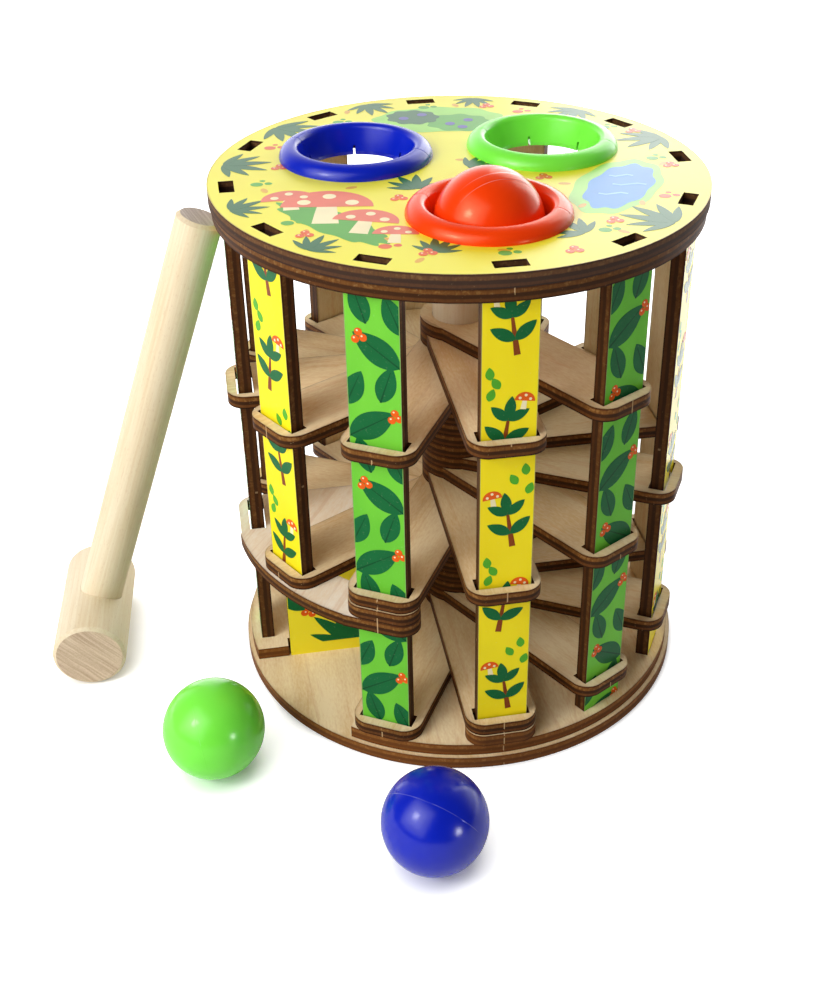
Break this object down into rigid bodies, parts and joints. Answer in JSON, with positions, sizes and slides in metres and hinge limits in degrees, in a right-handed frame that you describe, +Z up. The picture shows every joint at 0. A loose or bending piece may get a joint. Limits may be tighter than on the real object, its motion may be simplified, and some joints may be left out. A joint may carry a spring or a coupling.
{
  "type": "pounding ball tower",
  "caption": "Round wooden tower toy with a spiral stair inside: balls pounded through rims in the top roll down the steps and out at the base; comes with a mallet and balls.",
  "frame": {"origin": "middle of the base plate's underside", "axes": "+Z up along the tower's axis, -Y to the front where the exit's right edge and the red rim face"},
  "size_m": [0.3097, 0.2892, 0.2584],
  "materials": {
    "birch_ply": "bare laser-cut birch plywood with burnt edges",
    "beech": "bare sanded hardwood",
    "print_green": "green printed face on plywood, plain back",
    "print_yellow": "yellow printed face on plywood, plain back",
    "print_panel": "yellow and green printed face on plywood",
    "print_top": "pale yellow printed face on plywood",
    "plastic_red": "glossy moulded plastic",
    "plastic_green": "glossy moulded plastic",
    "plastic_blue": "glossy moulded plastic"
  },
  "bodies": {
    "tower": {"base_plate": "birch_ply", "base_deck": "birch_ply", "exit_panel": "print_panel", "centre_post": "beech", "landing": "birch_ply", "step_01": "birch_ply", "step_02": "birch_ply", "step_03": "birch_ply", "step_04": "birch_ply", "step_05": "birch_ply", "step_06": "birch_ply", "step_07": "birch_ply", "step_08": "birch_ply", "step_09": "birch_ply", "step_10": "birch_ply", "step_12": "birch_ply", "step_13": "birch_ply", "step_14": "birch_ply", "step_15": "birch_ply", "step_16": "birch_ply", "step_17": "birch_ply", "step_18": "birch_ply", "step_19": "birch_ply", "step_20": "birch_ply", "step_21": "birch_ply", "step_22": "birch_ply", "step_23": "birch_ply", "step_24": "birch_ply", "step_25": "birch_ply", "step_26": "birch_ply", "step_27": "birch_ply", "spacer_low": "birch_ply", "spacer_mid": "birch_ply", "slat_01": "print_green", "slat_02": "print_yellow", "slat_03": "print_green", "slat_04": "print_yellow", "slat_05": "print_green", "slat_06": "print_yellow", "slat_07": "print_green", "slat_08": "print_yellow", "slat_09": "print_green", "slat_10": "print_yellow", "slat_11": "print_green", "slat_12": "print_yellow", "top_frame": "birch_ply", "top_plate": "print_top", "rim_red": "plastic_red", "rim_green": "plastic_green", "rim_blue": "plastic_blue"},
    "red_ball": {"ball_red": "plastic_red"},
    "blue_ball": {"ball_blue": "plastic_blue"},
    "green_ball": {"ball_green": "plastic_green"},
    "mallet": {"mallet_head": "beech", "mallet_handle": "beech"}
  },
  "joints": [
    {"name": "red_ball_drop", "type": "slide", "parent": "tower", "child": "red_ball", "axis": [0, 0, 1], "range_m": [-0.04, 0.06]},
    {"name": "blue_ball_lift", "type": "slide", "parent": "tower", "child": "blue_ball", "axis": [0, 0, 1], "range_m": [0, 0.26]},
    {"name": "green_ball_lift", "type": "slide", "parent": "tower", "child": "green_ball", "axis": [0, 0, 1], "range_m": [0, 0.26]},
    {"name": "mallet_tip", "type": "hinge", "parent": "tower", "child": "mallet", "pos_m": [-0.17961, -0.02688, 0.017], "axis": [0.1925, -0.9813, 0], "range_deg": [0, 110]}
  ]
}
